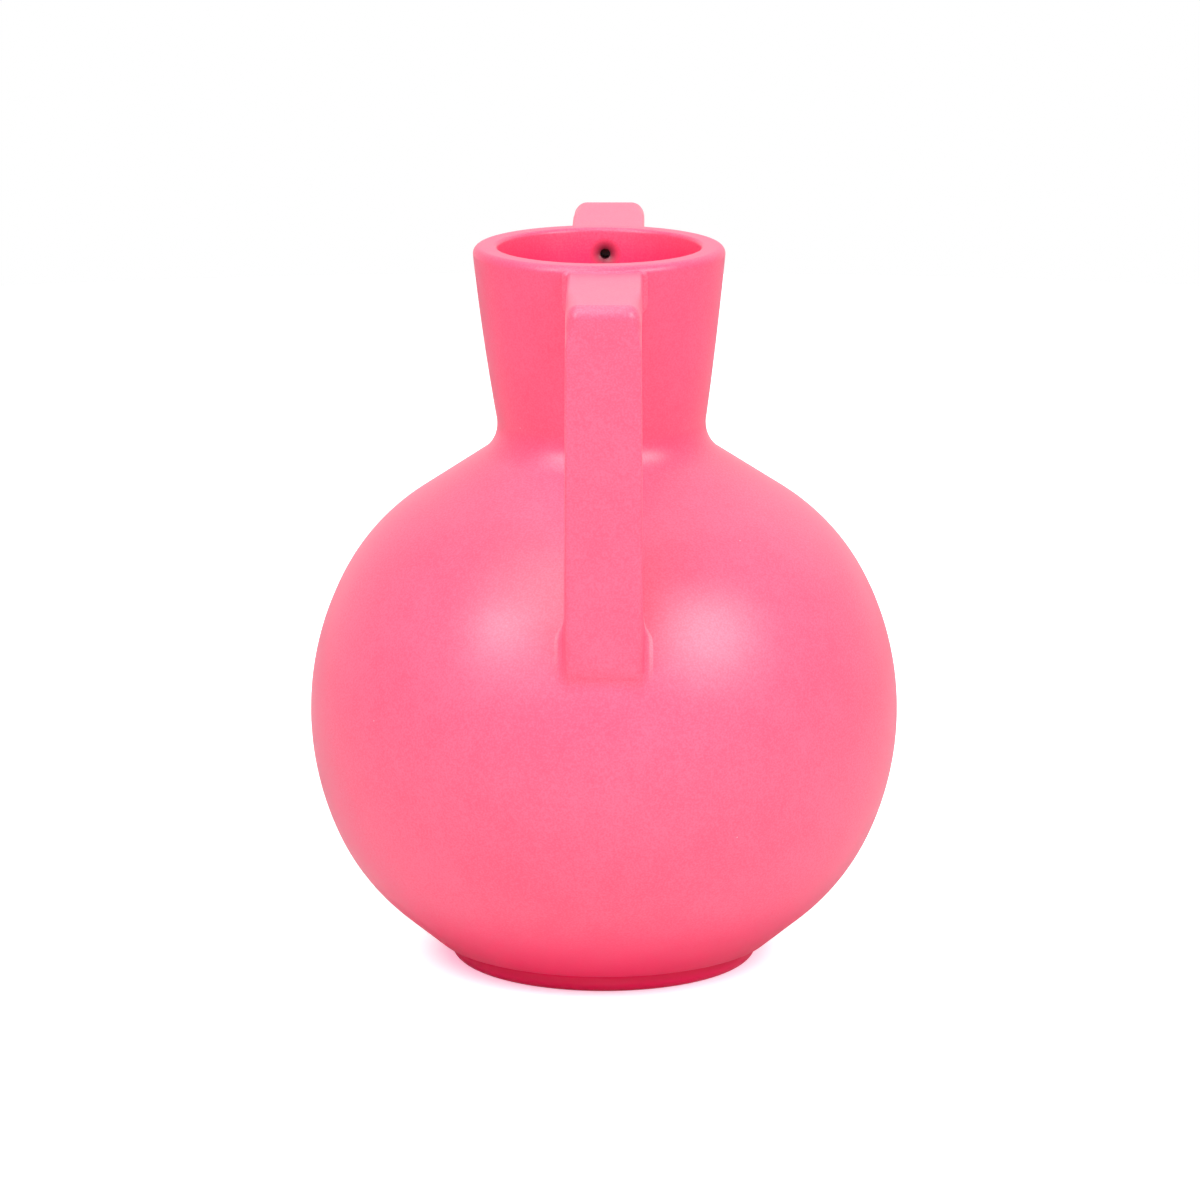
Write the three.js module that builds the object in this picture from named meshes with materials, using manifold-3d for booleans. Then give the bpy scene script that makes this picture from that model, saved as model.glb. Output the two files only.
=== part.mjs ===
// A ceramic flower vase: a round body on a low foot ring, a flaring neck and two squared strap handles.
// Sizes are millimetres and +Z is up. The origin is on the standing surface, on the vase's axis.
// The front handle is on the -Y side and the rear handle on the +Y side.
import * as THREE from "three";
import { mergeVertices } from "three/addons/utils/BufferGeometryUtils.js";
import Module from "manifold-3d";

const wasm = await Module();
wasm.setup();

// Overall height, and the clearance that a piece keeps to the neighbour it is fitted round
const VASE_HEIGHT = 240;
const FIT_GAP = 0.3;

// Round body: a ball that tightens a little towards the shoulder and the base
const BODY_RADIUS = 97.5;
const BODY_CENTRE_Z = 84.1;
const BODY_WALL = 6.5;
const FLOOR_THICKNESS = 7.5;
const SHOULDER_RADIUS = 72;
const SHOULDER_STARTS_AT = 28;
const SHOULDER_SLOPE = 33.4;
const BASE_RADIUS = 73.5;
const BASE_STARTS_AT = -24;
const BASE_SLOPE = 39.9;
const NECK_COVE_RADIUS = 12;

// Foot ring
const FOOT_HEIGHT = 7;
const FOOT_OVERHANG = 5;
const FOOT_WIDTH = 9;
const FOOT_COVE_RADIUS = 2.6;
const FOOT_OUTER_EDGE = 3.2;
const FOOT_INNER_EDGE = 1.2;

// Flaring neck
const RIM_RADIUS = 41.9;
const RIM_WALL = 8.4;
const NECK_FLARE = 7.35;
const RIM_OUTER_EDGE = 2.6;
const RIM_INNER_EDGE = 1.4;

// Strap handles, hollow like the rest of the casting
const HANDLE_WIDTH = 24;
const HANDLE_THICKNESS = 12.4;
const HANDLE_WALL = 3.8;
const HANDLE_DROP = 2;
const HANDLE_OVERHANG = 4.4;
const HANDLE_LANDING_INSET = 5.2;
const HANDLE_EDGE = 2.8;
const HANDLE_OUTER_CORNER = 4.4;
const HANDLE_INNER_CORNER = 3;
const CORE_CORNER = 0.8;

// Drain hole through the neck wall into each handle, with its soft dimple
const DRAIN_RADIUS = 1.7;
const DIMPLE_RADIUS = 4.2;
const DIMPLE_DEPTH = 1.6;
const DRILL_OVERRUN = 3;

// Facets of the round forms
const TURN_STEPS = 64;
const BALL_STEPS = 13;
const BLEND_STEPS = 4;
const COVE_STEPS = 4;
const EDGE_STEPS = 3;
const DRILL_STEPS = 16;

const GLAZE_COLOUR = 0xff7697;
const GLAZE_ROUGHNESS = 0.45;

const { degToRad } = THREE.MathUtils;
const flareTangent = Math.tan(degToRad(NECK_FLARE));
const flareCosine = Math.cos(degToRad(NECK_FLARE));

// Point at an angle, in degrees above the horizontal, on a circle in the plane of radius and height
function onCircle(centre, radius, angle) {
  const turn = degToRad(angle);
  return new THREE.Vector2(centre.x + radius * Math.cos(turn), centre.y + radius * Math.sin(turn));
}

// Points of an arc, both ends included
function arc(centre, radius, fromAngle, toAngle, steps) {
  const points = [];
  for (let step = 0; step <= steps; step += 1) {
    points.push(onCircle(centre, radius, fromAngle + ((toAngle - fromAngle) * step) / steps));
  }
  return points;
}

// Where two lines meet, each given by a unit normal and its distance from the origin
function meetLines(normalA, distanceA, normalB, distanceB) {
  const area = normalA.cross(normalB);
  return new THREE.Vector2(
    (distanceA * normalB.y - distanceB * normalA.y) / area,
    (normalA.x * distanceB - normalB.x * distanceA) / area,
  );
}

const onAxis = new THREE.Vector2(0, 0);
const ballCentre = new THREE.Vector2(0, BODY_CENTRE_Z);
const shoulderNormalAngle = 90 - SHOULDER_SLOPE;
const baseNormalAngle = BASE_SLOPE - 90;
const shoulderCentre = onCircle(ballCentre, BODY_RADIUS - SHOULDER_RADIUS, SHOULDER_STARTS_AT);
const baseCentre = onCircle(ballCentre, BODY_RADIUS - BASE_RADIUS, BASE_STARTS_AT);
const shoulderEnd = onCircle(shoulderCentre, SHOULDER_RADIUS, shoulderNormalAngle);

// The cove touches the straight part of the shoulder and the neck's flaring side
const shoulderNormal = onCircle(onAxis, 1, shoulderNormalAngle);
const neckNormal = onCircle(onAxis, 1, -NECK_FLARE);
const rimPoint = new THREE.Vector2(RIM_RADIUS, VASE_HEIGHT);
const coveCentre = meetLines(
  shoulderNormal,
  shoulderNormal.dot(shoulderEnd) + NECK_COVE_RADIUS,
  neckNormal,
  neckNormal.dot(rimPoint) + NECK_COVE_RADIUS,
);
const throatZ = coveCentre.y;
const throatRadius = coveCentre.x - NECK_COVE_RADIUS;
const boreRadius = throatRadius - BODY_WALL;

// Neck radius outside and inside at a height
const neckRadius = (z) => RIM_RADIUS - (VASE_HEIGHT - z) * flareTangent;
const rimBoreRadius = RIM_RADIUS - RIM_WALL;
const boreTangent = (rimBoreRadius - boreRadius) / (VASE_HEIGHT - throatZ);
const neckBoreRadius = (z) => rimBoreRadius - (VASE_HEIGHT - z) * boreTangent;

// Body radius at a height on the straight part above the foot, grown outwards by an offset
function baseRadiusAt(z, grow) {
  const end = onCircle(baseCentre, BASE_RADIUS + grow, baseNormalAngle);
  return end.x - (end.y - z) / Math.tan(degToRad(BASE_SLOPE));
}

// The body's outline from the height lowZ up to the throat, grown outwards by an offset
function bodyOutline(grow, lowZ) {
  return [
    new THREE.Vector2(baseRadiusAt(lowZ, grow), lowZ),
    ...arc(baseCentre, BASE_RADIUS + grow, baseNormalAngle, BASE_STARTS_AT, BLEND_STEPS),
    ...arc(ballCentre, BODY_RADIUS + grow, BASE_STARTS_AT, SHOULDER_STARTS_AT, BALL_STEPS).slice(1),
    ...arc(shoulderCentre, SHOULDER_RADIUS + grow, SHOULDER_STARTS_AT, shoulderNormalAngle, BLEND_STEPS).slice(1),
    ...arc(coveCentre, NECK_COVE_RADIUS - grow, 180 + shoulderNormalAngle, 180, COVE_STEPS),
  ];
}

// Solid of revolution about Z from a profile that runs up its outer side
function turned(profile) {
  return new THREE.LatheGeometry(profile, TURN_STEPS).rotateX(Math.PI / 2);
}

// Closed solid for joining and cutting, with shared corners merged and empty triangles left out
function toSolid(geometry) {
  const bare = geometry.clone();
  bare.deleteAttribute("normal");
  bare.deleteAttribute("uv");
  const merged = mergeVertices(bare);
  const index = merged.index.array;
  const corners = [];
  for (let at = 0; at < index.length; at += 3) {
    const [a, b, c] = [index[at], index[at + 1], index[at + 2]];
    if (a !== b && b !== c && c !== a) {
      corners.push(a, b, c);
    }
  }
  const vertProperties = Float32Array.from(merged.attributes.position.array);
  return new wasm.Manifold(new wasm.Mesh({ numProp: 3, vertProperties, triVerts: Uint32Array.from(corners) }));
}

function toGeometry(solid) {
  const mesh = solid.getMesh();
  const geometry = new THREE.BufferGeometry();
  geometry.setAttribute("position", new THREE.BufferAttribute(mesh.vertProperties, 3));
  geometry.setIndex(new THREE.BufferAttribute(mesh.triVerts, 1));
  geometry.computeVertexNormals();
  return geometry;
}

// Body: one shell from the flat underside up to the throat, with a flat floor inside
function bodyGeometry() {
  const floorZ = FOOT_HEIGHT + FLOOR_THICKNESS;
  const inner = bodyOutline(-BODY_WALL, floorZ).reverse();
  return turned([
    new THREE.Vector2(0, FOOT_HEIGHT),
    ...bodyOutline(0, FOOT_HEIGHT),
    ...inner,
    new THREE.Vector2(0, floorZ),
  ]);
}

// Foot ring: rounded below, with a small cove where it meets the body's underside
function footGeometry() {
  const outer = baseRadiusAt(FOOT_HEIGHT, 0) - FOOT_OVERHANG;
  const inner = outer - FOOT_WIDTH;
  const outerEdge = new THREE.Vector2(outer - FOOT_OUTER_EDGE, FOOT_OUTER_EDGE);
  const innerEdge = new THREE.Vector2(inner + FOOT_INNER_EDGE, FOOT_INNER_EDGE);
  const cove = new THREE.Vector2(outer + FOOT_COVE_RADIUS, FOOT_HEIGHT - FOOT_COVE_RADIUS);
  return turned([
    ...arc(outerEdge, FOOT_OUTER_EDGE, -90, 0, EDGE_STEPS),
    ...arc(cove, FOOT_COVE_RADIUS, 180, 90, EDGE_STEPS),
    new THREE.Vector2(inner, FOOT_HEIGHT),
    ...arc(innerEdge, FOOT_INNER_EDGE, 180, 270, EDGE_STEPS),
    new THREE.Vector2(outerEdge.x, 0),
  ]);
}

// Drill for one drain hole, along +Y from the vase's axis: a wide dimple that narrows to the hole
function drainDrill() {
  const drainZ = VASE_HEIGHT - HANDLE_DROP - HANDLE_THICKNESS / 2;
  const wallFrom = neckBoreRadius(drainZ);
  const drillEnd = neckRadius(drainZ) + DRILL_OVERRUN;
  const profile = [
    onAxis,
    new THREE.Vector2(DIMPLE_RADIUS, 0),
    new THREE.Vector2(DIMPLE_RADIUS, wallFrom),
    new THREE.Vector2(DRAIN_RADIUS, wallFrom + DIMPLE_DEPTH),
    new THREE.Vector2(DRAIN_RADIUS, drillEnd),
    new THREE.Vector2(0, drillEnd),
  ];
  return new THREE.LatheGeometry(profile, DRILL_STEPS).translate(0, 0, drainZ);
}

// Neck: a flaring tube from the throat to the flat rim, with a drain hole behind each handle
function neckGeometry() {
  const flareOuter = onCircle(coveCentre, NECK_COVE_RADIUS, 180 - NECK_FLARE);
  const boreAngle = THREE.MathUtils.radToDeg(Math.atan(boreTangent));
  const outerEdgeZ = VASE_HEIGHT - RIM_OUTER_EDGE;
  const innerEdgeZ = VASE_HEIGHT - RIM_INNER_EDGE;
  const outerEdge = new THREE.Vector2(neckRadius(outerEdgeZ) - RIM_OUTER_EDGE / flareCosine, outerEdgeZ);
  const innerEdgeX = neckBoreRadius(innerEdgeZ) + RIM_INNER_EDGE / Math.cos(degToRad(boreAngle));
  const innerEdge = new THREE.Vector2(innerEdgeX, innerEdgeZ);
  const start = new THREE.Vector2(throatRadius, throatZ);
  const tube = turned([
    start,
    flareOuter,
    ...arc(outerEdge, RIM_OUTER_EDGE, -NECK_FLARE, 90, EDGE_STEPS),
    ...arc(innerEdge, RIM_INNER_EDGE, 90, 180 - boreAngle, EDGE_STEPS),
    new THREE.Vector2(boreRadius, throatZ),
    start,
  ]);
  const rearDrill = drainDrill();
  const frontDrill = drainDrill().rotateZ(Math.PI);
  return toGeometry(toSolid(tube).subtract(toSolid(rearDrill)).subtract(toSolid(frontDrill)));
}

// Handle side view: distance out from the axis, and height
const armTop = VASE_HEIGHT - HANDLE_DROP;
const handleReach = BODY_RADIUS + HANDLE_OVERHANG;
const landingReach = BODY_RADIUS - HANDLE_LANDING_INSET;
const landingZ = BODY_CENTRE_Z + Math.sqrt(BODY_RADIUS ** 2 - landingReach ** 2);
const leanTangent = (handleReach - landingReach) / (armTop - landingZ);
const leanCosine = Math.cos(Math.atan(leanTangent));

// Reach of the upright's face at a height, moved inwards square to the face
const uprightReach = (z, inset) => handleReach - (armTop - z) * leanTangent - inset / leanCosine;

// Outline with each corner rounded to its own radius
function roundedShape(corners) {
  const shape = new THREE.Shape();
  corners.forEach(({ point, radius }, at) => {
    const before = corners[(at + corners.length - 1) % corners.length].point;
    const after = corners[(at + 1) % corners.length].point;
    const back = before.clone().sub(point).normalize();
    const ahead = after.clone().sub(point).normalize();
    const half = Math.acos(back.dot(ahead)) / 2;
    const start = point.clone().addScaledVector(back, radius / Math.tan(half));
    if (at === 0) {
      shape.moveTo(start.x, start.y);
    } else {
      shape.lineTo(start.x, start.y);
    }
    if (radius > 0) {
      const end = point.clone().addScaledVector(ahead, radius / Math.tan(half));
      const centre = point.clone().addScaledVector(back.clone().add(ahead).normalize(), radius / Math.sin(half));
      const clockwise = back.cross(ahead) > 0;
      shape.absarc(centre.x, centre.y, radius, start.sub(centre).angle(), end.sub(centre).angle(), clockwise);
    }
  });
  shape.closePath();
  return shape;
}

// The strap's side outline, from inside the neck to inside the body, shrunk by an inset
function strapShape(inset, outerCorner, innerCorner) {
  const top = armTop - inset;
  const under = armTop - HANDLE_THICKNESS + inset;
  const innerInset = HANDLE_THICKNESS - inset;
  const corner = (x, y, radius) => ({ point: new THREE.Vector2(x, y), radius });
  return roundedShape([
    corner(throatRadius, under, 0),
    corner(uprightReach(under, innerInset), under, innerCorner),
    corner(uprightReach(BODY_CENTRE_Z, innerInset), BODY_CENTRE_Z, 0),
    corner(uprightReach(BODY_CENTRE_Z, inset), BODY_CENTRE_Z, 0),
    corner(uprightReach(top, inset), top, outerCorner),
    corner(throatRadius, top, 0),
  ]);
}

// Extruded strap, centred on the vase's middle plane and turned to the -Y side
function strap(shape, width, edge) {
  const geometry = new THREE.ExtrudeGeometry(shape, {
    depth: width - 2 * edge,
    curveSegments: COVE_STEPS,
    bevelEnabled: edge > 0,
    bevelThickness: edge,
    bevelSize: edge,
    bevelOffset: -edge,
    bevelSegments: EDGE_STEPS - 1,
  });
  geometry.translate(0, 0, edge - width / 2);
  const outwards = new THREE.Vector3(0, -1, 0);
  const upwards = new THREE.Vector3(0, 0, 1);
  const sideways = new THREE.Vector3(-1, 0, 0);
  return geometry.applyMatrix4(new THREE.Matrix4().makeBasis(outwards, upwards, sideways));
}

// Handle: the strap less its core, cut to sit against the neck and the body
function handleGeometry() {
  const outer = strap(strapShape(0, HANDLE_OUTER_CORNER, HANDLE_INNER_CORNER), HANDLE_WIDTH, HANDLE_EDGE);
  const coreShape = strapShape(HANDLE_WALL, CORE_CORNER, HANDLE_INNER_CORNER + HANDLE_WALL);
  const core = strap(coreShape, HANDLE_WIDTH - 2 * HANDLE_WALL, 0);
  const rimFit = neckRadius(VASE_HEIGHT) + FIT_GAP / flareCosine;
  const throatFit = neckRadius(throatZ) + FIT_GAP / flareCosine;
  const neckCut = turned([
    new THREE.Vector2(0, throatZ),
    new THREE.Vector2(throatFit, throatZ),
    new THREE.Vector2(rimFit, VASE_HEIGHT),
    new THREE.Vector2(0, VASE_HEIGHT),
  ]);
  const bodyCut = turned([
    new THREE.Vector2(0, FOOT_HEIGHT),
    ...bodyOutline(FIT_GAP, FOOT_HEIGHT),
    new THREE.Vector2(0, throatZ),
  ]);
  const hollow = toSolid(outer).subtract(toSolid(core));
  return toGeometry(hollow.subtract(toSolid(neckCut)).subtract(toSolid(bodyCut)));
}

// One named piece with its own glaze
function piece(name, geometry) {
  const glaze = new THREE.MeshStandardMaterial({ color: GLAZE_COLOUR, roughness: GLAZE_ROUGHNESS, metalness: 0 });
  const mesh = new THREE.Mesh(geometry, glaze);
  mesh.name = name;
  return mesh;
}

const vase = new THREE.Group();
vase.add(piece("globe_body", bodyGeometry()));
vase.add(piece("foot_ring", footGeometry()));
vase.add(piece("neck_cone", neckGeometry()));
vase.add(piece("front_handle", handleGeometry()));

const rearHandle = piece("rear_handle", handleGeometry());
rearHandle.rotation.z = Math.PI;
vase.add(rearHandle);

export default vase;
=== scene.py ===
"""Round flower vase in satin pink glaze, with a flaring neck, squared strap handles and a foot ring.

Sizes are metres. The vase stands on z = 0 with its own axis on x = y = 0. The front strap is on the
-Y side and the rear strap on the +Y side.
"""

import logging
import math
from dataclasses import dataclass, field
from enum import Enum
from functools import partial
from typing import Callable, Iterable, NamedTuple, Optional

import bmesh
import bpy
from mathutils import Matrix, Vector


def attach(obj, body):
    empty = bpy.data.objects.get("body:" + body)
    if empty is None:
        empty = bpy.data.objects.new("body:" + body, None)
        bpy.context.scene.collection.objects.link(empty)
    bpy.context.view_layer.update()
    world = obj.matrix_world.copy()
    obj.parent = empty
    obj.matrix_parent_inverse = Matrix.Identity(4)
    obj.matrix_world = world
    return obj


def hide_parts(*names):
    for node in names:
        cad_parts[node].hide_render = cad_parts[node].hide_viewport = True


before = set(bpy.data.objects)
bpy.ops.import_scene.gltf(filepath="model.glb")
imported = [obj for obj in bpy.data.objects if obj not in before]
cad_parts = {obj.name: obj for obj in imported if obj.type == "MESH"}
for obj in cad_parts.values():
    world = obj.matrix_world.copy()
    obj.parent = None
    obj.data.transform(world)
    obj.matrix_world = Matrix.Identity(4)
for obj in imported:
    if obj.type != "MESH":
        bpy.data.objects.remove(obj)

LOG = logging.getLogger("vase")
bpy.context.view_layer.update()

MM = 0.001
TURN_STEPS = 192
MERGE_DISTANCE = 2e-6
SHARP_ANGLE = math.radians(42)
# Attribute with the shade painted into the glaze's colour: inside, on the neck and towards the foot.
PAINTED_SHADE = "painted_shade"
# Attribute with the shade painted round and in the drain holes.
PAINTED_HOLE_SHADE = "hole_shade"
ROLL_HALVINGS = 40

Colour = tuple[float, float, float]
Mesh = bmesh.types.BMesh
Layer = bmesh.types.BMLayerItem
Ring = list[bmesh.types.BMVert]
Loop = list[bmesh.types.BMEdge]
Tree = bpy.types.NodeTree
Socket = bpy.types.NodeSocket


class Side(Enum):
    """The two sides of the vase that carry a strap, as the sign of Y there."""

    FRONT = -1.0
    REAR = 1.0


@dataclass(frozen=True)
class Arc:
    """Part of an outline in the half plane of radius and height.

    Attributes:
        x: Radius of the circle's centre.
        z: Height of the circle's centre.
        radius: Radius of the circle.
        start: Angle above the horizontal where the part starts, in degrees.
        end: Angle above the horizontal where the part ends, in degrees.
    """

    x: float
    z: float
    radius: float
    start: float
    end: float

    def at(self, angle: float) -> tuple[float, float]:
        """Returns the point at an angle in degrees, as radius and height."""
        turn = math.radians(angle)
        return self.x + self.radius * math.cos(turn), self.z + self.radius * math.sin(turn)

    def grown(self, offset: float) -> "Arc":
        """Returns the same part moved outwards by an offset."""
        return Arc(self.x, self.z, self.radius + offset, self.start, self.end)

    def reversed(self) -> "Arc":
        """Returns the same part, drawn the other way."""
        return Arc(self.x, self.z, self.radius, self.end, self.start)


class OutlinePen:
    """Draws an outline in the plane of x and z by pulling a vertex along lines and round arcs."""

    def __init__(self, bm: Mesh, x: float, z: float) -> None:
        """Sets the pen down.

        Args:
            bm: Mesh that takes the outline.
            x: Radius where the outline starts.
            z: Height where the outline starts.
        """
        self.bm = bm
        self.tip = bmesh.ops.create_vert(bm, co=(x, 0.0, z))["vert"][0]

    def line(self, x: float, z: float, steps: int = 1) -> None:
        """Draws a straight line.

        Args:
            x: Radius where the line ends.
            z: Height where the line ends.
            steps: Number of equal lengths.
        """
        stride = (Vector((x, 0.0, z)) - self.tip.co) / steps
        for _ in range(steps):
            made = bmesh.ops.extrude_vert_indiv(self.bm, verts=[self.tip])
            self.tip = made["verts"][0]
            bmesh.ops.translate(self.bm, vec=stride, verts=[self.tip])

    def arc(self, part: Arc, steps: int) -> None:
        """Draws a line to the start of an arc, where it isn't there yet, and then the arc.

        Args:
            part: The arc.
            steps: Number of equal turns.
        """
        x, z = part.at(part.start)
        if (Vector((x, 0.0, z)) - self.tip.co).length > MERGE_DISTANCE:
            self.line(x, z)
        made = bmesh.ops.spin(
            self.bm,
            geom=[self.tip],
            cent=(part.x, 0.0, part.z),
            axis=(0.0, -1.0, 0.0),
            angle=math.radians(part.end - part.start),
            steps=steps,
        )
        self.tip = next(item for item in made["geom_last"] if isinstance(item, bmesh.types.BMVert))


def finish_mesh(bm: Mesh, name: str) -> bpy.types.Object:
    """Makes a smooth object of a mesh, with its joint corners kept crisp.

    Args:
        bm: The finished mesh, which is freed.
        name: Name of the new object.

    Returns:
        The object, at the origin and linked to the scene.
    """
    bmesh.ops.remove_doubles(bm, verts=bm.verts[:], dist=MERGE_DISTANCE)
    bmesh.ops.recalc_face_normals(bm, faces=bm.faces[:])
    for face in bm.faces:
        face.smooth = True
    for edge in bm.edges:
        edge.smooth = not (len(edge.link_faces) == 2 and edge.calc_face_angle() > SHARP_ANGLE)
    mesh = bpy.data.meshes.new(name)
    bm.to_mesh(mesh)
    bm.free()
    piece = bpy.data.objects.new(name, mesh)
    bpy.context.scene.collection.objects.link(piece)
    return piece


def turn_round(bm: Mesh) -> None:
    """Turns everything drawn so far once round the vase's axis."""
    bmesh.ops.spin(
        bm,
        geom=bm.verts[:] + bm.edges[:],
        cent=(0.0, 0.0, 0.0),
        axis=(0.0, 0.0, 1.0),
        angle=math.tau,
        steps=TURN_STEPS,
        use_merge=True,
    )


def pull(bm: Mesh, loop: Loop) -> tuple[Ring, Loop]:
    """Pulls a copy out of an open loop, joined to it by faces.

    Args:
        bm: Mesh of the loop.
        loop: Edges of the loop.

    Returns:
        The copy's vertices, which still lie on the old ones, and its edges.
    """
    made = bmesh.ops.extrude_edge_only(bm, edges=loop)["geom"]
    ring = [item for item in made if isinstance(item, bmesh.types.BMVert)]
    return ring, [item for item in made if isinstance(item, bmesh.types.BMEdge)]


def add_node(tree: Tree, kind: str, inputs: Optional[dict] = None, **settings: str) -> bpy.types.Node:
    """Adds a node, makes its settings and fills its inputs.

    Args:
        tree: Node tree that takes the node.
        kind: The node's kind, in Blender's words after "ShaderNode".
        inputs: For each input, the socket that is linked to it or its plain value.
        settings: The node's own settings.

    Returns:
        The node.
    """
    node = tree.nodes.new(f"ShaderNode{kind}")
    for name, value in settings.items():
        setattr(node, name, value)
    for name, value in (inputs or {}).items():
        if isinstance(value, bpy.types.NodeSocket):
            tree.links.new(value, node.inputs[name])
        else:
            node.inputs[name].default_value = value
    return node


def ease(share: float) -> float:
    """Returns a smooth step from 0 to 1 as the share goes from 0 to 1."""
    share = max(0.0, min(1.0, share))
    return share * share * (3 - 2 * share)


@dataclass(frozen=True)
class VaseForm:
    """Sizes that the pieces share, and the outlines that follow from them.

    Angles are degrees above the horizontal, seen from the middle of the arc that they belong to.
    """

    height: float = 240 * MM
    body_radius: float = 97.5 * MM
    body_centre_z: float = 84.1 * MM
    body_wall: float = 6.5 * MM
    shoulder_radius: float = 72 * MM
    shoulder_starts_at: float = 28.0
    shoulder_slope: float = 33.4
    base_radius: float = 73.5 * MM
    base_starts_at: float = -24.0
    base_slope: float = 39.9
    neck_cove_radius: float = 12 * MM
    cone_rim_radius: float = 41.9 * MM
    cone_flare: float = 7.35
    flare_low: float = 8.7
    flare_top: float = 5.5
    rim_bore_radius: float = 33.5 * MM
    rim_outer_edge: float = 2.6 * MM
    rim_inner_edge: float = 1.5 * MM
    foot_height: float = 7 * MM
    neck_aside: float = -1.6 * MM
    aside_from: float = 120 * MM
    # Shares of shade painted into the colour: inside, on the neck and by the throat, and from
    # foot_shade_from down to full at foot_shade_full.
    inside_shade: float = 0.62
    neck_shade: float = 0.25
    foot_shade_from: float = 38 * MM
    foot_shade_full: float = 8 * MM

    @property
    def ball(self) -> Arc:
        """The round middle of the body."""
        return Arc(0.0, self.body_centre_z, self.body_radius, self.base_starts_at, self.shoulder_starts_at)

    @property
    def shoulder(self) -> Arc:
        """The tighter curve above the ball."""
        x, z = self.ball.grown(-self.shoulder_radius).at(self.shoulder_starts_at)
        return Arc(x, z, self.shoulder_radius, self.shoulder_starts_at, 90 - self.shoulder_slope)

    @property
    def base(self) -> Arc:
        """The tighter curve below the ball."""
        x, z = self.ball.grown(-self.base_radius).at(self.base_starts_at)
        return Arc(x, z, self.base_radius, self.base_slope - 90, self.base_starts_at)

    @property
    def cove(self) -> Arc:
        """The hollow curve between the shoulder and the neck, up to the throat.

        It touches the straight slope below it and the cone that the neck is drawn from.

        Returns:
            The curve.
        """
        slope, flare = math.radians(90 - self.shoulder_slope), math.radians(-self.cone_flare)
        low, side = Vector((math.cos(slope), math.sin(slope))), Vector((math.cos(flare), math.sin(flare)))
        low_gap = low.dot(Vector(self.shoulder.at(90 - self.shoulder_slope))) + self.neck_cove_radius
        side_gap = side.dot(Vector((self.cone_rim_radius, self.height))) + self.neck_cove_radius
        area = low.x * side.y - low.y * side.x
        x = (low_gap * side.y - side_gap * low.y) / area
        z = (low.x * side_gap - side.x * low_gap) / area
        return Arc(x, z, self.neck_cove_radius, 270 - self.shoulder_slope, 180.0)

    @property
    def throat_z(self) -> float:
        """Height of the joint between the body and the neck."""
        return self.cove.z

    @property
    def throat_radius(self) -> float:
        """Outer radius at the throat."""
        return self.cove.x - self.cove.radius

    @property
    def neck_foot(self) -> Arc:
        """The last of the hollow curve, above the throat."""
        return Arc(self.cove.x, self.cove.z, self.cove.radius, 180.0, 180 - self.flare_low)

    @property
    def neck_side(self) -> Arc:
        """The neck's side, which flares a little less towards the rim.

        Returns:
            The side, as one wide arc.
        """
        x, z = self.neck_foot.at(180 - self.flare_low)
        low, top = math.radians(self.flare_low), math.radians(self.flare_top)
        radius = (self.height - z) / (math.sin(low) - math.sin(top))
        x -= radius * math.cos(low)
        z += radius * math.sin(low)
        return Arc(x, z, radius, -self.flare_low, -self.flare_top)

    @property
    def rim_edge(self) -> Arc:
        """The soft outer edge of the rim, from the neck's side to the flat top.

        Returns:
            The edge.
        """
        edge = self.rim_outer_edge
        side = self.neck_side
        z = self.height - edge
        reach = side.radius - edge
        x = side.x + math.sqrt(reach**2 - (z - side.z) ** 2)
        start = math.degrees(math.asin((z - side.z) / reach))
        return Arc(x, z, edge, start, 90.0)

    def aside(self, z: float) -> float:
        """Returns how far to the right the hand-joined neck stands at a height."""
        return self.neck_aside * ease((z - self.aside_from) / (self.height - self.aside_from))

    def outside_shade(self, z: float) -> float:
        """Returns how much shade is painted on the body's outside at a height, by the throat and near the
        foot, from 0 to 1.
        """
        near_neck = self.neck_shade * ease(1 - (self.throat_z - z) / self.neck_cove_radius)
        return max(near_neck, self.foot_shade(z))

    def foot_shade(self, z: float) -> float:
        """Returns how much shade is painted on the outside at a height near the foot, from 0 to 1."""
        return ease((self.foot_shade_from - z) / (self.foot_shade_from - self.foot_shade_full))

    def bore_radius(self, z: float) -> float:
        """Finds the radius of the neck's bore.

        Args:
            z: Height.

        Returns:
            The radius there.
        """
        low = self.throat_radius - self.body_wall
        share = (z - self.throat_z) / (self.height - self.throat_z)
        return low + (self.rim_bore_radius - low) * share

    def base_radius_at(self, z: float, offset: float) -> float:
        """Finds the body's radius on the straight part above the foot.

        Args:
            z: Height.
            offset: How far the outline is moved outwards.

        Returns:
            The radius.
        """
        x, low_z = self.base.grown(offset).at(self.base.start)
        return x - (low_z - z) / math.tan(math.radians(self.base_slope))

    def off_body(self, point: Vector) -> tuple[float, Vector]:
        """Measures from the body's skin.

        Args:
            point: A point outside the body and above its middle.

        Returns:
            The distance, and the skin's outward direction there.
        """
        reach = math.hypot(point.x, point.y)
        rise = math.degrees(math.atan2(point.z - self.body_centre_z, reach))
        return self._off_arc(point, self.ball if rise < self.shoulder_starts_at else self.shoulder)

    def off_neck(self, point: Vector) -> tuple[float, Vector]:
        """Measures from the neck's skin.

        Args:
            point: A point outside the neck.

        Returns:
            The distance, and the skin's outward direction there.
        """
        edge = self.rim_edge
        point = point - Vector((self.aside(point.z), 0.0, 0.0))
        reach = math.hypot(point.x, point.y)
        if point.z > edge.z and reach < edge.x:
            return point.z - self.height, Vector((0.0, 0.0, 1.0))
        above = math.degrees(math.atan2(point.z - edge.z, reach - edge.x))
        return self._off_arc(point, edge if above > edge.start else self.neck_side)

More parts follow.
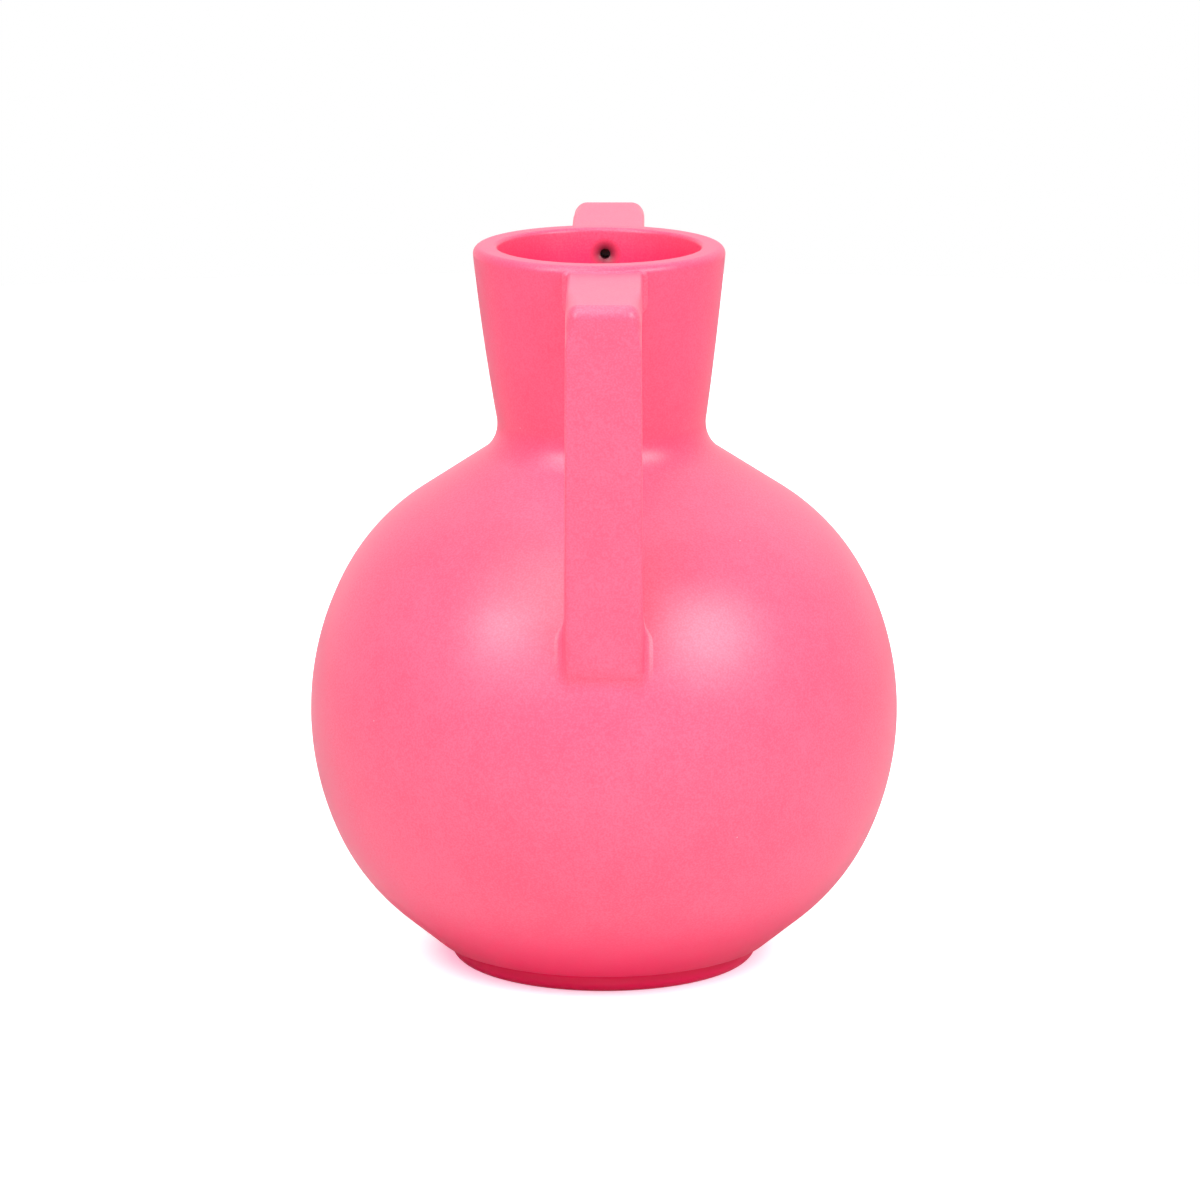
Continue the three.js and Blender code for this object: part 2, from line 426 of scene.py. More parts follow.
    @staticmethod
    def _off_arc(point: Vector, part: Arc) -> tuple[float, Vector]:
        """Measures from one turned arc.

        Args:
            point: A point outside the arc.
            part: The arc.

        Returns:
            The distance, and the outward direction.
        """
        reach = math.hypot(point.x, point.y)
        out, up = reach - part.x, point.z - part.z
        length = math.hypot(out, up)
        normal = Vector((point.x / reach * out, point.y / reach * out, up)) / length
        return length - part.radius, normal


@dataclass(frozen=True)
class SatinGlaze:
    """Satin matte glaze, with the soft clouding, fine grain and rare pale specks of a fired coat.

    Attributes:
        name: Name of the material.
        full: Colour where the coat lies thick.
        thin: Colour where the coat lies thin.
        painted_shade_colour: Colour painted as shade: inside, at the foot and a little on the neck.
        hole_shade: Dark colour painted as the shade deep in a hole.
        speck: Colour of the specks.
        cloud_size: Width of the soft clouds.
        cloud_share: Part of the clouds, beside the broad drift under them.
        drift_spread: Width of the drift, in clouds.
        wave_spread: Width of the surface's broad waves, in clouds.
        cloud_detail: Number of finer layers in the clouds.
        drift_detail: Number of finer layers in the drift.
        wave_detail: Number of finer layers in the waves.
        grain_size: Width of the fine grain.
        grain_detail: Number of finer layers in the grain.
        grain_share: Part that the grain has in the coat's colour, beside the clouds.
        coat_spread: How far grain and clouds go from their mean to make the coat quite full or thin.
        speck_spacing: Mean distance between the places for specks.
        speck_edge: Where a speck ends and where it is full, in spacings from its middle.
        speck_miss: Share of the places that have no speck.
        cloud_range: Levels of the clouds that have the lowest and the highest roughness.
        roughness: Lowest and highest roughness.
        ior: Index of refraction.
        specular: Specular level.
        grain_relief: Strength and depth of the grain's relief.
        wave_relief: Strength and depth of the waves' relief.
    """

    name: str = "satin_pink_glaze"
    full: Colour = (0.980, 0.094, 0.197)
    thin: Colour = (0.985, 0.134, 0.250)
    painted_shade_colour: Colour = (0.975, 0.004, 0.120)
    hole_shade: Colour = (0.100, 0.012, 0.024)
    speck: Colour = (0.96, 0.40, 0.50)
    cloud_size: float = 11 * MM
    cloud_share: float = 0.55
    drift_spread: float = 4
    wave_spread: float = 1.6
    cloud_detail: float = 3.0
    drift_detail: float = 1.5
    wave_detail: float = 1.0
    grain_size: float = 0.6 * MM
    grain_detail: float = 2.0
    grain_share: float = 0.7
    coat_spread: float = 0.09
    speck_spacing: float = 9 * MM
    speck_edge: tuple[float, float] = (0.035, 0.015)
    speck_miss: float = 0.8
    cloud_range: tuple[float, float] = (0.3, 0.7)
    roughness: tuple[float, float] = (0.33, 0.39)
    ior: float = 1.5
    specular: float = 0.5
    grain_relief: tuple[float, float] = (0.7, 0.05 * MM)
    wave_relief: tuple[float, float] = (0.5, 0.25 * MM)

    def material(self) -> bpy.types.Material:
        """Builds the node material.

        Returns:
            The material.
        """
        material = bpy.data.materials.new(self.name)
        material.use_nodes = True
        tree = material.node_tree
        tree.nodes.clear()
        place = add_node(tree, "TexCoord").outputs["Object"]
        clouds = self._noise(tree, place, self.cloud_size, self.cloud_detail)
        drift = self._noise(tree, place, self.cloud_size * self.drift_spread, self.drift_detail)
        coat = add_node(tree, "Mix", {"Factor": self.cloud_share, "A": drift, "B": clouds}).outputs["Result"]
        grain = self._noise(tree, place, self.grain_size, self.grain_detail)
        waves = self._noise(tree, place, self.cloud_size * self.wave_spread, self.wave_detail)
        colour = self._colour(tree, coat, grain, self._specks(tree, place))
        names = ("From Min", "From Max", "To Min", "To Max")
        ranges = dict(zip(names, (*self.cloud_range, *self.roughness)))
        relief = {}
        for height, (strength, depth) in ((grain, self.grain_relief), (waves, self.wave_relief)):
            inputs = {"Strength": strength, "Distance": depth, "Height": height, **relief}
            relief = {"Normal": add_node(tree, "Bump", inputs).outputs["Normal"]}
        shader = add_node(
            tree,
            "BsdfPrincipled",
            {
                "Base Color": colour,
                "Roughness": add_node(tree, "MapRange", {**ranges, "Value": coat}).outputs["Result"],
                "IOR": self.ior,
                "Specular IOR Level": self.specular,
                **relief,
            },
        )
        add_node(tree, "OutputMaterial", {"Surface": shader.outputs["BSDF"]})
        return material

    def _colour(self, tree: Tree, coat: Socket, grain: Socket, specks: Socket) -> Socket:
        """Colours the coat and its specks, and paints shade where the painted_shade and hole_shade
        attributes say.

        Args:
            tree: Node tree of the material.
            coat: Socket with the coat's clouds.
            grain: Socket with its grain.
            specks: Socket that is above 0 on a speck.

        Returns:
            The socket with the colour.
        """
        level = add_node(tree, "Mix", {"Factor": self.grain_share, "A": coat, "B": grain}).outputs["Result"]
        ramp = add_node(tree, "ValToRGB", {"Fac": level})
        for element, position, colour in zip(
            ramp.color_ramp.elements,
            (0.5 - self.coat_spread, 0.5 + self.coat_spread),
            (self.full, self.thin),
        ):
            element.position = position
            element.color = (*colour, 1.0)
        layers = [(specks, self.speck)]
        for name, colour in ((PAINTED_SHADE, self.painted_shade_colour), (PAINTED_HOLE_SHADE, self.hole_shade)):
            layers.append((add_node(tree, "Attribute", attribute_name=name).outputs["Fac"], colour))
        below = ramp.outputs["Color"]
        for share, colour in layers:
            inputs = {"Factor": share, "A": below, "B": (*colour, 1.0)}
            below = add_node(tree, "Mix", inputs, data_type="RGBA").outputs["Result"]
        return below

    @staticmethod
    def _noise(tree: Tree, place: Socket, size: float, detail: float) -> Socket:
        """Adds a soft noise.

        Args:
            tree: Node tree of the material.
            place: Socket that gives the place on the piece.
            size: Width of one cloud of the noise.
            detail: Number of finer layers.

        Returns:
            The socket with the noise, from 0 to 1.
        """
        inputs = {"Scale": 1.0 / size, "Detail": detail, "Vector": place}
        return add_node(tree, "TexNoise", inputs).outputs["Fac"]

    def _specks(self, tree: Tree, place: Socket) -> Socket:
        """Adds rare pale pinhole specks.

        Args:
            tree: Node tree of the material.
            place: Socket that gives the place on the piece.

        Returns:
            The socket that is above 0 on a speck.
        """
        cells = add_node(tree, "TexVoronoi", {"Scale": 1.0 / self.speck_spacing, "Vector": place})
        edge, full = self.speck_edge
        inputs = {"From Min": edge, "From Max": full, "Value": cells.outputs["Distance"]}
        dot = add_node(tree, "MapRange", inputs, interpolation_type="SMOOTHSTEP").outputs["Result"]
        chance = add_node(tree, "SeparateColor", {"Color": cells.outputs["Color"]}).outputs["Red"]
        rare = add_node(tree, "Math", {0: chance, 1: self.speck_miss}, operation="GREATER_THAN")
        return add_node(tree, "Math", {0: dot, 1: rare.outputs[0]}, operation="MULTIPLY").outputs[0]


def dress(piece: bpy.types.Object, material: bpy.types.Material, *nodes: str) -> None:
    """Gives a piece its glaze, and lets it stand for its solids on the vase.

    Args:
        piece: The piece.
        material: Its glaze.
        nodes: Names of the solids that it stands for.
    """
    piece.data.materials.append(material)
    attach(piece, "root")
    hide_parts(*nodes)


@dataclass
class GlobeBody:
    """Round hollow body, from its flat underside up to the throat, with the floor inside."""

    form: VaseForm
    floor_thickness: float = 7.5 * MM
    floor_corner: float = 5 * MM
    ledge_edge: float = 1.5 * MM
    ledge_room: float = 9 * MM
    underside_steps: int = 12
    outer_steps: tuple[int, ...] = (22, 56, 28)
    slope_steps: int = 8
    cove_steps: int = 24
    inner_cove_steps: int = 20
    inner_steps: tuple[int, ...] = (20, 40, 16)
    edge_steps: int = 8
    floor_steps: int = 10

    def build(self) -> bpy.types.Object:
        """Turns the body's wall.

        Returns:
            The body.
        """
        form = self.form
        bm = bmesh.new()
        pen = OutlinePen(bm, 0.0, form.foot_height)
        underside = form.base_radius_at(form.foot_height, 0) - self.ledge_room
        pen.line(underside, form.foot_height, self.underside_steps)
        self._ledge(pen)
        outer = (form.base, form.ball, form.shoulder)
        for part, steps in zip(outer, self.outer_steps):
            pen.arc(part, steps)
        pen.line(*form.cove.at(form.cove.start), self.slope_steps)
        pen.arc(form.cove, self.cove_steps)
        inner = form.cove.grown(form.body_wall)
        pen.line(*inner.at(inner.end))
        pen.arc(inner.reversed(), self.inner_cove_steps)
        for part, steps in zip(reversed(outer), self.inner_steps):
            pen.arc(part.grown(-form.body_wall).reversed(), steps)
        self._floor(pen)
        turn_round(bm)
        bmesh.ops.recalc_face_normals(bm, faces=bm.faces[:])
        # Paints shade into the colour: fully on the inner wall, and outside by the throat and towards the
        # foot.
        painted_shade = bm.verts.layers.float.new(PAINTED_SHADE)
        middle = Vector((0.0, 0.0, form.body_centre_z))
        for face in bm.faces:
            inside = face.normal.dot(middle - face.calc_center_median()) > 0
            for vert in face.verts:
                vert[painted_shade] = form.inside_shade if inside else form.outside_shade(vert.co.z)
        for vert in bm.verts:
            vert.co.x += form.aside(vert.co.z)
        return finish_mesh(bm, "round_body")

    def _ledge(self, pen: OutlinePen) -> None:
        """Rounds the body's low edge, outside the foot ring.

        Args:
            pen: The pen, on the underside.
        """
        form = self.form
        edge = self.ledge_edge
        x = form.base_radius_at(form.foot_height + edge, -edge)
        pen.arc(Arc(x, form.foot_height + edge, edge, -90.0, form.base_slope - 90), self.edge_steps)

    def _floor(self, pen: OutlinePen) -> None:
        """Draws the rounded corner inside and the floor to the axis.

        Args:
            pen: The pen, on the inner wall.
        """
        form = self.form
        corner = self.floor_corner
        floor_z = form.foot_height + self.floor_thickness
        x = form.base_radius_at(floor_z + corner, -form.body_wall - corner)
        pen.arc(Arc(x, floor_z + corner, corner, form.base_slope - 90, -90.0), self.edge_steps)
        pen.line(0.0, floor_z, self.floor_steps)


@dataclass
class FootRing:
    """Low ring that the vase stands on, rounded below and coved into the body's underside."""

    form: VaseForm
    overhang: float = 5.0 * MM
    width: float = 9 * MM
    cove_radius: float = 2.6 * MM
    outer_edge: float = 3.2 * MM
    inner_edge: float = 1.2 * MM
    inner_cove: float = 1.2 * MM
    sole_steps: int = 3
    outer_steps: int = 14
    cove_steps: int = 12
    top_steps: int = 4
    inner_steps: int = 8

    def build(self) -> bpy.types.Object:
        """Turns the ring.

        Returns:
            The foot ring.
        """
        form = self.form
        top = form.foot_height
        outer = form.base_radius_at(top, 0) - self.overhang
        inner = outer - self.width
        edge, cove = self.outer_edge, self.cove_radius
        low_edge, high_cove = self.inner_edge, self.inner_cove
        bm = bmesh.new()
        pen = OutlinePen(bm, inner + low_edge, 0.0)
        pen.line(outer - edge, 0.0, self.sole_steps)
        pen.arc(Arc(outer - edge, edge, edge, -90.0, 0.0), self.outer_steps)
        pen.arc(Arc(outer + cove, top - cove, cove, 180.0, 90.0), self.cove_steps)
        pen.line(inner - high_cove, top, self.top_steps)
        pen.arc(Arc(inner - high_cove, top - high_cove, high_cove, 90.0, 0.0), self.inner_steps)
        pen.arc(Arc(inner + low_edge, low_edge, low_edge, 180.0, 270.0), self.inner_steps)
        turn_round(bm)
        # Paints shade into the foot ring's colour, fuller towards the floor.
        painted_shade = bm.verts.layers.float.new(PAINTED_SHADE)
        for vert in bm.verts:
            vert[painted_shade] = form.foot_shade(vert.co.z)
        return finish_mesh(bm, "standing_foot_ring")


@dataclass
class FlaringNeck:
    """Hollow neck that flares up to a flat soft-edged rim, with a drain hole behind each strap.

    Each hole takes the place of a patch of the inner wall's cells. The slacks keep rounding errors
    from changing which cells those are, and `row_places` is the number of decimal places to which
    the heights of their rows are compared.
    """

    form: VaseForm
    # Depth below the rim over which the shade painted inside the bore grows to full.
    inside_shade_depth: float = 9 * MM
    drain_z: float = 231.3 * MM
    drain_aside: float = 1.6 * MM
    drain_radius: float = 1.7 * MM
    dimple_radius: float = 5.6 * MM
    dimple_depth: float = 0.7 * MM
    dimple_steps: int = 14
    dimple_shade: float = 0.95
    drain_depth: float = 7.0 * MM
    drain_steps: int = 5
    patch_across: int = 13
    patch_up: int = 10
    patch_slack: float = 0.1
    row_slack: float = 0.01 * MM
    row_places: int = 6
    bore_slack: float = 0.05 * MM
    hole_taper: float = 0.03
    foot_steps: int = 8
    side_steps: int = 40
    rim_steps: int = 14
    rim_top_steps: int = 5
    rim_inner_steps: int = 10
    bore_steps: int = 48
    joint_steps: int = 2

    def build(self) -> bpy.types.Object:
        """Turns the neck's wall and opens its drain holes.

        Returns:
            The neck.
        """
        form = self.form
        bm = bmesh.new()
        painted_shade = bm.verts.layers.float.new(PAINTED_SHADE)
        hole_shade = bm.verts.layers.float.new(PAINTED_HOLE_SHADE)
        pen = OutlinePen(bm, form.throat_radius, form.throat_z)
        pen.arc(form.neck_foot, self.foot_steps)
        edge = form.rim_edge
        flank = form.neck_side
        pen.arc(Arc(flank.x, flank.z, flank.radius, flank.start, edge.start), self.side_steps)
        pen.arc(edge, self.rim_steps)
        lean = math.degrees(math.atan2(form.bore_radius(form.height) - form.bore_radius(0), form.height))
        soft = form.rim_inner_edge
        inner_x = form.bore_radius(form.height - soft) + soft / math.cos(math.radians(lean))
        pen.line(inner_x, form.height, self.rim_top_steps)
        pen.arc(Arc(inner_x, form.height - soft, soft, 90.0, 180 - lean), self.rim_inner_steps)
        pen.line(form.bore_radius(form.throat_z), form.throat_z, self.bore_steps)
        pen.line(form.throat_radius, form.throat_z, self.joint_steps)
        turn_round(bm)
        bmesh.ops.remove_doubles(bm, verts=bm.verts[:], dist=MERGE_DISTANCE)
        bmesh.ops.recalc_face_normals(bm, faces=bm.faces[:])
        rows = sorted({round(v.co.z, self.row_places) for v in bm.verts if self._on_bore(v)})
        near = min(range(len(rows)), key=lambda at: abs(rows[at] - self.drain_z))
        half = self.patch_up // 2
        for side in Side:
            self._drain(bm, hole_shade, side, (rows[near - half], rows[near + half]))
        # Paints shade on the whole neck, and more inside its bore with depth below the rim.
        middle_wall = form.body_wall / 2
        for vert in bm.verts:
            vert[painted_shade] = form.neck_shade
            if math.hypot(vert.co.x, vert.co.y) < form.bore_radius(vert.co.z) + middle_wall:
                depth = form.height - form.rim_inner_edge - vert.co.z
                share = ease(depth / self.inside_shade_depth)
                vert[painted_shade] = form.neck_shade + (form.inside_shade - form.neck_shade) * share
        for vert in bm.verts:
            vert.co.x += form.aside(vert.co.z)
        return finish_mesh(bm, "flaring_neck")

    def _drain(self, bm: Mesh, hole_shade: Layer, side: Side, rows: tuple[float, float]) -> None:
        """Opens one drain hole in the neck's inner wall, at the bottom of a soft dimple.

        Args:
            bm: Mesh of the turned neck.
            hole_shade: Layer that takes how much shade is painted at a place, round the hole and in it.
            side: The side of the hole.
            rows: Lowest and highest edge of the wall's cells that make way.
        """
        low, high = rows
        turn = math.tau / TURN_STEPS * (self.patch_across / 2 + self.patch_slack)
        inside = {
            vert
            for vert in bm.verts
            if self._on_bore(vert)
            and abs(math.atan2(vert.co.x - self.drain_aside, vert.co.y * side.value)) < turn
            and low - self.row_slack < vert.co.z < high + self.row_slack
        }
        patch = [face for face in bm.faces if all(vert in inside for vert in face.verts)]
        touched = dict.fromkeys(edge for face in patch for edge in face.edges)
        rim = [edge for edge in touched if not all(face in patch for face in edge.link_faces)]
        LOG.info("drain %s: %d faces make way, %d edges round them", side.name.lower(), len(patch), len(rim))
        bmesh.ops.delete(bm, geom=patch, context="FACES")
        centre = Vector((self.drain_aside, 0.0, self.drain_z))
        made = bmesh.ops.create_circle(bm, cap_ends=False, segments=len(rim), radius=self.dimple_radius)
        ring = made["verts"]
        bmesh.ops.rotate(bm, verts=ring, cent=(0, 0, 0), matrix=Matrix.Rotation(math.pi / 2, 3, "X"))
        bmesh.ops.translate(bm, verts=ring, vec=centre)
        self._seat(ring, side, 0.0)
        loop = list(dict.fromkeys(edge for vert in ring for edge in vert.link_edges))
        bmesh.ops.bridge_loops(bm, edges=rim + loop)
        radius = self.dimple_radius
        for next_radius, depth, shade_share in self._dimple():
            ring, loop = pull(bm, loop)
            shrink = next_radius / radius
            bmesh.ops.scale(bm, verts=ring, vec=(shrink, 1.0, shrink), space=Matrix.Translation(-centre))
            self._seat(ring, side, depth)
            # Paints soft shade on the dimple, growing towards the hole, and full dark shade inside it.
            for vert in ring:
                vert[hole_shade] = shade_share
            radius = next_radius
        bmesh.ops.contextual_create(bm, geom=loop)

    def _dimple(self) -> Iterable[tuple[float, float, float]]:
        """Gives the rings of the dimple and the hole.

        Yields:
            Radius of the ring, its depth below the wall's surface, and how much shade is painted on it, full
            in the hole.
        """
        for step in range(1, self.dimple_steps + 1):
            share = step / self.dimple_steps
            radius = self.dimple_radius + (self.drain_radius - self.dimple_radius) * share
            yield radius, self.dimple_depth * share**2, self.dimple_shade * share
        for step in range(1, self.drain_steps + 1):
            share = step / self.drain_steps
            depth = self.dimple_depth + (self.drain_depth - self.dimple_depth) * share
            yield self.drain_radius * (1 - self.hole_taper * share), depth, 1.0

    def _seat(self, ring: Ring, side: Side, depth: float) -> None:
        """Moves a ring in Y so that it lies on the bore, or below its surface.

        Args:
            ring: Vertices of the ring.
            side: The side of the hole.
            depth: Depth below the bore's surface.
        """
        for vert in ring:
            reach = self.form.bore_radius(vert.co.z)
            vert.co.y = side.value * (math.sqrt(reach**2 - vert.co.x**2) + depth)

    def _on_bore(self, vert: bmesh.types.BMVert) -> bool:
        """Tells whether a vertex lies on the neck's inner wall."""
        off = math.hypot(vert.co.x, vert.co.y) - self.form.bore_radius(vert.co.z)
        return abs(off) < self.bore_slack


class Drawn(NamedTuple):
    """A place in the strap's section as drawn: across its width, and below its outer or top face."""

    across: float
    depth: float


Measure = Callable[[Vector], tuple[float, Vector]]
Station = Callable[[Drawn], Vector]
Joint = tuple[str, Drawn]


@dataclass(frozen=True)
class Ray:
    """A straight way from a point."""

    start: Vector
    way: Vector
    length: float

    def at(self, travel: float) -> Vector:
        """Returns the point after some travel."""
        return self.start + self.way * travel


@dataclass(frozen=True)
class SectionPoint:
    """One point of a strap's section.

    Attributes:
        across: Place across the width.
        depth: Depth below the outer face.
        out_w: Part of the outward direction that is across the width.
        out_t: Part of the outward direction that is out through the outer face.
    """

    across: float
    depth: float
    out_w: float
    out_t: float


@dataclass
class StrapHandle:
    """Squared strap: an arm out from below the rim, a soft corner and an upright down to the body.

    The section is drawn once, with `drawn_edge` on its corners, and takes another rounding at each
    place along the strap. `neck_roll` and `body_roll` say where the ball that makes a root's cove
    sets out, and how far it may roll. Angles are degrees.
    """

    form: VaseForm
    side: Side
    width: float = 24 * MM
    width_low: float = 25.2 * MM
    thickness: float = 12.4 * MM
    drawn_edge: float = 2.8 * MM
    arm_edge: float = 1.3 * MM
    bend_edge: float = 4.4 * MM
    upright_edge: float = 1.1 * MM
    landing_edge: float = 2.6 * MM
    inner_edge: float = 1.8 * MM
    drop: float = 2 * MM
    strap_aside: float = 0.8 * MM
    overhang: float = 4.33 * MM
    landing_inset: float = 4.2 * MM
    outer_corner: float = 4.4 * MM
    inner_corner: float = 3 * MM
    body_cove: float = 3.8 * MM
    inner_cove: float = 0.5 * MM
    cove_starts_at: float = 11.3 * MM
    cove_full_at: float = 4.6 * MM
    heel_cove: float = 5.2 * MM
    heel_spread: float = 0.021 / MM
    heel_tuck: float = 26.0
    neck_cove: float = 2.7 * MM
    top_cove: float = 0.9 * MM
    neck_hollow: float = 14 * MM
    cove_steps: int = 12
    corner_steps: int = 16
    bend_steps: int = 8
    upright_steps: int = 26
    arm_shares: tuple[float, ...] = (0.15, 0.3, 0.45, 0.6, 0.7, 0.78, 0.86, 0.93)
    bend_share: float = 0.07
    landing_share: float = 0.3
    edge_steps: int = 10
    width_cuts: int = 13
    side_cuts: int = 5
    landing_tip: tuple[float, float] = (5 * MM, -2 * MM)
    end_sunk: float = 0.25 * MM
    end_onward: float = 0.5 * MM
    neck_roll: tuple[float, float] = (80 * MM, 60 * MM)
    body_roll: tuple[float, float] = (30 * MM, 100 * MM)
    rolled: dict[Joint, tuple[Vector, Vector]] = field(default_factory=dict, repr=False)

    @property
    def arm_top(self) -> float:
        """Height of the arm's top face."""
        return self.form.height - self.drop

    @property
    def reach(self) -> float:
        """Distance from the axis to the outer face, at the top."""
        return self.form.body_radius + self.overhang

    @property
    def shift(self) -> float:
        """How far the strap's middle lies from the axis, on the -Y side before the rear strap is turned."""
        return -self.side.value * self.strap_aside

    @property
    def lean(self) -> float:
        """Angle by which the upright leans inwards on its way down.

        Returns:
            The angle in radians.
        """
        form = self.form
        landing = form.body_radius - self.landing_inset
        landing_z = form.body_centre_z + math.sqrt(form.body_radius**2 - landing**2)
        return math.atan2(self.reach - landing, self.arm_top - landing_z)

    def build(self) -> bpy.types.Object:
        """Pulls the strap's section from the neck round the corner to the body.

        Returns:
            The strap.
        """
        bm = bmesh.new()
        across = bm.verts.layers.float.new("across")
        depth = bm.verts.layers.float.new("depth")
        first = loop = self._section(bm, across, depth)
        ring = bm.verts[:]
        for number, station in enumerate(self._stations()):
            if number:
                ring, loop = pull(bm, loop)
            for vert in ring:
                vert.co = station(Drawn(vert[across], vert[depth]))
        self._close(bm, first, Vector((0.0, -self.neck_hollow, 0.0)))
        self._close(bm, loop, Vector((0.0, *self.landing_tip)))
        if self.side is Side.REAR:
            bmesh.ops.rotate(bm, verts=bm.verts[:], cent=(0, 0, 0), matrix=Matrix.Rotation(math.pi, 3, "Z"))
        return finish_mesh(bm, f"{self.side.name.lower()}_strap_handle")

    def _section(self, bm: Mesh, across: Layer, depth: Layer) -> Loop:
        """Makes the strap's rounded section and notes each vertex's place in it.

        Args:
            bm: Mesh of the strap.
            across: Layer that takes the place across the width.
            depth: Layer that takes the depth below the outer face.

        Returns:
            The section's edges.
        """
        made = bmesh.ops.create_grid(bm, x_segments=1, y_segments=1, size=0.5)
        bmesh.ops.scale(bm, verts=made["verts"], vec=(self.width, self.thickness, 1.0))
        bmesh.ops.bevel(
            bm,
            geom=bm.verts[:],
            offset=self.drawn_edge,
            offset_type="OFFSET",
            affect="VERTICES",
            segments=self.edge_steps,
            profile=0.5,
            material=-1,
        )
        bmesh.ops.delete(bm, geom=bm.faces[:], context="FACES_ONLY")
        long = [e for e in bm.edges if e.calc_length() > self.width / 2]
        short = [e for e in bm.edges if self.width / 2 > e.calc_length() > self.drawn_edge]
        bmesh.ops.subdivide_edges(bm, edges=long, cuts=self.width_cuts)
        bmesh.ops.subdivide_edges(bm, edges=short, cuts=self.side_cuts)
        for vert in bm.verts:
            vert[across] = vert.co.x
            vert[depth] = self.thickness / 2 - vert.co.y
        return bm.edges[:]

    @staticmethod
    def _close(bm: Mesh, loop: Loop, onward: Vector) -> None:
        """Closes an end of the strap with a cone, pointing into the wall or into the strap itself.

        Args:
            bm: Mesh of the strap.
            loop: Edges of the open end.
            onward: Way from the loop's middle to the cone's tip.
        """
        ring, _ = pull(bm, loop)
        middle = sum((v.co for v in ring), Vector()) / len(ring)
        bmesh.ops.pointmerge(bm, verts=ring, merge_co=middle + onward)

    def _point(self, place: Drawn, outer: float) -> SectionPoint:
        """Finds a point of the section, once its outer edges have a given rounding.

        Args:
            place: Place in the section as drawn.
            outer: Rounding of the two outer edges.

        Returns:
            The point.
        """
        half_w, half_t = self.width / 2, self.thickness / 2
        flat_w, flat_t = half_w - self.drawn_edge, half_t - self.drawn_edge
        across, up = place.across, half_t - place.depth
        on_w = max(-flat_w, min(flat_w, across))
        on_t = max(-flat_t, min(flat_t, up))
        length = math.hypot(across - on_w, up - on_t)
        out_w, out_t = (across - on_w) / length, (up - on_t) / length
        edge = outer if on_t > 0 else self.inner_edge
        top, low = half_t - outer, self.inner_edge - half_t
        new_up = low + (top - low) * (on_t + flat_t) / (2 * flat_t) + edge * out_t
        return SectionPoint(on_w * (half_w - edge) / flat_w + edge * out_w, half_t - new_up, out_w, out_t)

    def _stations(self) -> list[Station]:
        """Lists the section's places along the strap, from inside the neck to inside the body.

        Returns:
            For each place, what moves a point of the section there.
        """
        bend, rest = self.bend_share, 1 - self.bend_share
        turns = [step / self.corner_steps for step in range(self.corner_steps + 1)]
        down = [bend * step / self.bend_steps for step in range(1, self.bend_steps + 1)]
        down += [bend + rest * step / self.upright_steps for step in range(1, self.upright_steps)]
        stations = [partial(self._neck_root, step=step) for step in range(-1, self.cove_steps + 1)]
        stations += [partial(self._arm, share=share) for share in self.arm_shares]
        stations += [partial(self._corner, share=share) for share in turns]
        stations += [partial(self._upright, share=share) for share in down]
        stations += [partial(self._body_root, step=step) for step in range(self.cove_steps + 2)]
        return stations

    def _arm(self, place: Drawn, share: float) -> Vector:
        """Finds a point on the arm, whose top edges get softer towards the corner.

        Args:
            place: Place in the section as drawn.
            share: Share of the way from the neck's cove to the corner.

        Returns:
            The point, on the -Y side.
        """
        edge = self.arm_edge + (self.bend_edge - self.arm_edge) * ease(2 * share - 1)
        points = [self._point(place, rounding) for rounding in (self.arm_edge, self.bend_edge, edge)]
        first, last, here = [Vector((point.across, 0.0, -point.depth)) for point in points]
        straight = self._neck_root(place, self.cove_steps).lerp(self._corner(place, 0.0), share)
        return straight + here - first.lerp(last, share)

    def _upright(self, place: Drawn, share: float) -> Vector:
        """Finds a point on the upright, whose outer edges are crisp except near its two ends.

        Args:
            place: Place in the section as drawn.
            share: Share of the way from the corner to the body's cove.

        Returns:
            The point, on the -Y side.
        """
        low_share = ease((share - self.landing_share) / (1 - self.landing_share))
        edge = self.upright_edge
        edge += (self.bend_edge - self.upright_edge) * (1 - ease(share / self.bend_share))
        edge += (self.landing_edge - self.upright_edge) * low_share
        inward = Vector((0.0, math.cos(self.lean), math.sin(self.lean)))
        points = [self._point(place, rounding) for rounding in (self.bend_edge, self.landing_edge, edge)]
        first, last, here = [Vector((point.across, 0.0, 0.0)) + inward * point.depth for point in points]
        straight = self._corner(place, 1.0).lerp(self._body_root(place, 0), share)
        return straight + here - first.lerp(last, share)

    def _sharp_corner(self, depth: float) -> tuple[float, float]:
        """Returns reach and height of the corner, without its rounding, at a depth in the section."""
        return self.reach - depth * math.tan(self.lean) - depth / math.cos(self.lean), self.arm_top - depth

    def _corner(self, place: Drawn, share: float) -> Vector:
        """Finds a point on the rounded corner.

        Args:
            place: Place in the section as drawn.
            share: Share of the corner's turn, from the arm to the upright.

        Returns:
            The point, on the -Y side.
        """
        point = self._point(place, self.bend_edge)
        radius = self.outer_corner + (self.inner_corner - self.outer_corner) * point.depth / self.thickness
        turn = math.pi / 2 + self.lean
        reach, z = self._sharp_corner(point.depth)
        reach -= radius * math.tan(turn / 2)
        z -= radius
        angle = turn * share
        away = -(reach + radius * math.sin(angle))
        return Vector((point.across + self.shift, away, z + radius * math.cos(angle)))

